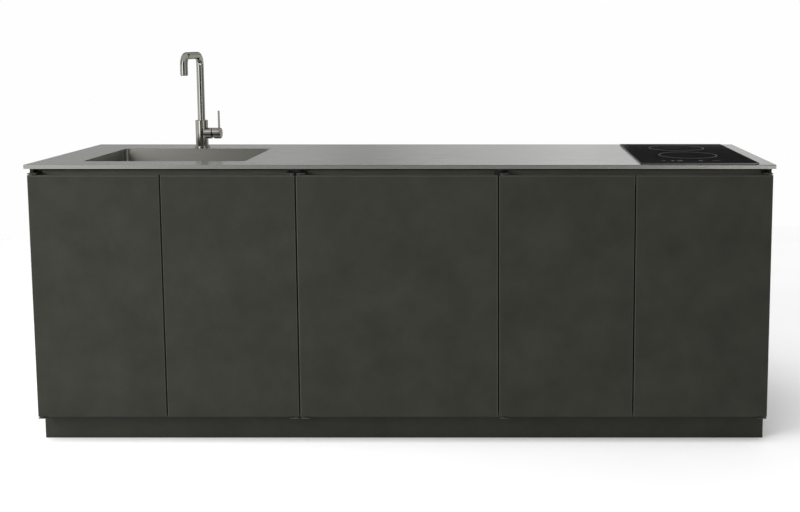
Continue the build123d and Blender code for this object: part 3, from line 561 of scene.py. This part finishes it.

# Soft black seal strips between the worktop and the finger channel, half round in front, which also
# stand in for the shade line under the worktop
channel_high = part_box("finger_channel")[1]
shade_seal_back = channel_high.y - CHANNEL_WALL
shade_seal_foot = channel_high.z - SHADE_SEAL_HEIGHT
shade_seal_outline = [(shade_seal_back, shade_seal_foot)]
for step in range(SHADE_SEAL_STEPS + 1):
    turn = math.pi * step / SHADE_SEAL_STEPS
    rise = SHADE_SEAL_HEIGHT / 2 * (1 - math.cos(turn))
    bulge = SHADE_SEAL_DEPTH * (1 - SHADE_SEAL_ROUND + SHADE_SEAL_ROUND * math.sin(turn))
    shade_seal_outline.append((shade_seal_back - bulge, shade_seal_foot + rise))
shade_seal_outline.append((shade_seal_back, channel_high.z))
shade_seal_shape = bmesh.new()
for cabinet in CABINETS:
    floor_low, floor_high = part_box(f"{cabinet}_cabinet_floor")
    ends = [
        [shade_seal_shape.verts.new((x, y, z)) for y, z in shade_seal_outline]
        for x in (floor_low.x, floor_high.x)]
    join_rings(shade_seal_shape, ends)
    for end in ends:
        shade_seal_shape.faces.new(end)
finished_piece("worktop_shade_seal", shade_seal_shape, slot_looks["rubber"])


# Screws along the bottom and top of each back panel, with domed heads and six-lobed sockets
def screw_head(shape, x, y, z):
    """A screw head on a back face, made of rings from its socket out to its rim."""
    rings = []
    for reach, rise, lobes in SCREW_PROFILE:
        ring = []
        for i in range(SCREW_SIDES):
            turn = 2 * math.pi * i / SCREW_SIDES
            radius = SCREW_RADIUS * reach * (1 + lobes * math.cos(SCREW_LOBES * turn))
            across, up = radius * math.cos(turn), radius * math.sin(turn)
            ring.append(shape.verts.new((x + across, y + SCREW_HEIGHT * rise, z + up)))
        rings.append(ring)
    join_rings(shape, rings)
    shape.faces.new(rings[0])
    shape.faces.new(rings[-1])


screws = bmesh.new()
for cabinet in CABINETS:
    low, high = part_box(f"{cabinet}_back_panel")
    gaps = round((high.x - low.x) / SCREW_SPACING)
    step = (high.x - low.x - 2 * SCREW_FROM_EDGE) / gaps
    for z in (low.z + SCREW_FROM_EDGE, high.z - SCREW_FROM_EDGE):
        for i in range(gaps + 1):
            screw_head(screws, low.x + SCREW_FROM_EDGE + i * step, high.y, z)
finished_piece("back_panel_screws", screws, slot_looks["zinc_steel"])


def turned(shape, x, z, outline, count=64):
    """A ring turned round an axis along Y: the closed outline is pairs of radius and y."""
    rings = []
    for i in range(count):
        turn = 2 * math.pi * i / count
        across, up = math.cos(turn), math.sin(turn)
        rings.append([shape.verts.new((x + r * across, y, z + r * up)) for r, y in outline])
    join_rings(shape, rings, closed=True)


# Rubber grommets in the service holes: a sleeve through the panel between two flanges
panel_low, panel_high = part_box("sink_back_panel")
inner_y, outer_y = panel_low.y, panel_high.y
grommets = bmesh.new()
for x, z, radius in (HOSE_HOLE, LEAD_HOLE):
    sleeve = radius - GROMMET_SLEEVE
    bevel = radius + GROMMET_LIP * BEVEL_REACH
    rim = radius + GROMMET_LIP
    turned(grommets, x, z, [
        (sleeve, inner_y - GROMMET_RISE), (sleeve, outer_y + GROMMET_RISE),
        (bevel, outer_y + GROMMET_RISE), (rim, outer_y + GROMMET_RISE * BEVEL_RISE),
        (rim, outer_y), (radius, outer_y), (radius, inner_y), (rim, inner_y),
        (rim, inner_y - GROMMET_RISE * BEVEL_RISE), (bevel, inner_y - GROMMET_RISE),
    ])
finished_piece("service_grommets", grommets, slot_looks["rubber"])

# Collar that covers the hole round the waste pipe
pipe_x, pipe_z, pipe_radius = WASTE_PIPE
collar_bore = pipe_radius + COLLAR_GAP
collar_outline = [(collar_bore, outer_y), (collar_bore, outer_y + COLLAR_RISE)]
for reach, rise in COLLAR_PROFILE:
    collar_outline.append((pipe_radius + COLLAR_REACH * reach, outer_y + COLLAR_RISE * rise))
collar = bmesh.new()
turned(collar, pipe_x, pipe_z, collar_outline)
finished_piece("waste_collar", collar, slot_looks["white_plastic"])

# Floor
floor_shape = bmesh.new()
bmesh.ops.create_circle(floor_shape, cap_ends=True, segments=FLOOR_SIDES, radius=FLOOR_RADIUS)
floor_mesh = bpy.data.meshes.new("floor")
floor_shape.to_mesh(floor_mesh)
floor_shape.free()
floor = bpy.data.objects.new("floor", floor_mesh)
floor.location.z = -FLOOR_DROP
bpy.context.scene.collection.objects.link(floor)
floor_look, floor_shader = material("floor")
floor_tree = floor_look.node_tree
floor_tone = two_tone(floor_tree, noise(floor_tree, FLOOR_CLOUD), FLOOR_DARK, FLOOR_LIGHT)
floor_tree.links.new(floor_tone, floor_shader.inputs["Base Color"])
floor_shader.inputs["Roughness"].default_value = FLOOR_ROUGHNESS
floor_shader.inputs["Specular IOR Level"].default_value = 0.0
floor_shader.inputs["Emission Color"].default_value = (1, 1, 1, 1)
floor_glow = reckon(floor_tree, "MULTIPLY", ray_kinds(floor_tree, *SEEN_RAYS), FLOOR_GLOW)
floor_tree.links.new(floor_glow, floor_shader.inputs["Emission Strength"])
floor_mesh.materials.append(floor_look)

# World: the studio to the camera and to shiny and clear surfaces, an even sky to the rest
world = bpy.data.worlds.new("studio")
bpy.context.scene.world = world
world.use_nodes = True
sky = world.node_tree
sky.nodes.clear()
even_light = add(sky, "ShaderNodeBackground", Color=(1, 1, 1, 1), Strength=SKY_LEVEL)
backdrop = add(sky, "ShaderNodeBackground", Strength=1.0)
direction = add(sky, "ShaderNodeTexCoord").outputs["Generated"]
gradient = add(sky, "ShaderNodeTexGradient")
gradient.gradient_type = "RADIAL"
sky.links.new(direction, gradient.inputs["Vector"])
bearing = gradient.outputs[0]
split = add(sky, "ShaderNodeSeparateXYZ")
sky.links.new(direction, split.inputs[0])
height = split.outputs["Z"]


def round_about(stops):
    """A grey ramp round the horizon, from stops of the bearing from the front and the level."""
    places = [((FRONT_ON_GRADIENT + turn / FULL_TURN) % 1.0, level) for turn, level in stops]
    return stepped(sky, bearing, sorted(places))


def rising(span):
    """Nought below a span of heights, one above it."""
    return ranged(sky, height, 0.0, 1.0, span)


def falling(span):
    """One below a span of heights, nought above it."""
    return ranged(sky, height, 1.0, 0.0, span)


card_share = reckon(sky, "MULTIPLY", round_about(CARD_BEARING), stepped(sky, height, CARD_HEIGHT))
raised_share = reckon(sky, "MULTIPLY", round_about(RAISED_SIDES), falling(RAISED_TOP))
sweep_share = reckon(sky, "MAXIMUM", falling(SWEEP_TOP), raised_share)
strip_up = reckon(sky, "MINIMUM", rising(STRIP_FOOT), falling(STRIP_TOP))
strip_share = reckon(sky, "MULTIPLY", round_about(STRIP_BEARING), strip_up)
studio = round_about(STUDIO_RING)
for share, tone in (
    (rising(CEILING_RISE), CEILING_TONE), (card_share, CARD_TONE),
    (sweep_share, SWEEP_TONE), (strip_share, STRIP_TONE),
):
    studio = blend_colours(sky, share, studio, tone)
sky.links.new(studio, backdrop.inputs["Color"])
seen = add(sky, "ShaderNodeMixShader")
sky.links.new(ray_kinds(sky, *SEEN_RAYS), seen.inputs[0])
sky.links.new(even_light.outputs[0], seen.inputs[1])
sky.links.new(backdrop.outputs[0], seen.inputs[2])
output = add(sky, "ShaderNodeOutputWorld")
sky.links.new(seen.outputs[0], output.inputs["Surface"])


def lamp(name, kind, energy, place, target):
    """A lamp aimed at a target, which lights the object but leaves no glare on its shiny parts."""
    light = bpy.data.lights.new(name, kind)
    light.energy = energy
    holder = bpy.data.objects.new(name, light)
    holder.visible_glossy = False
    holder.location = place
    way = Vector(target) - Vector(place)
    holder.rotation_euler = way.to_track_quat("-Z", "Y").to_euler()
    bpy.context.scene.collection.objects.link(holder)
    return light


lamp("sun", "SUN", SUN_LEVEL, (0, 0, 0), SUN_AIM).angle = SUN_SOFTNESS
lamp("key", "AREA", KEY_POWER, KEY_PLACE, KEY_AIM).size = KEY_SIZE

camera_data = bpy.data.cameras.new("camera")
camera_data.lens = CAMERA_LENS
camera_data.shift_x, camera_data.shift_y = CAMERA_SHIFT
camera = bpy.data.objects.new("camera", camera_data)
camera.location = CAMERA_PLACE
camera.rotation_euler = (math.pi / 2 - CAMERA_TILT, 0, 0)
bpy.context.scene.collection.objects.link(camera)
bpy.context.scene.camera = camera
bpy.context.scene.view_settings.view_transform = "Standard"
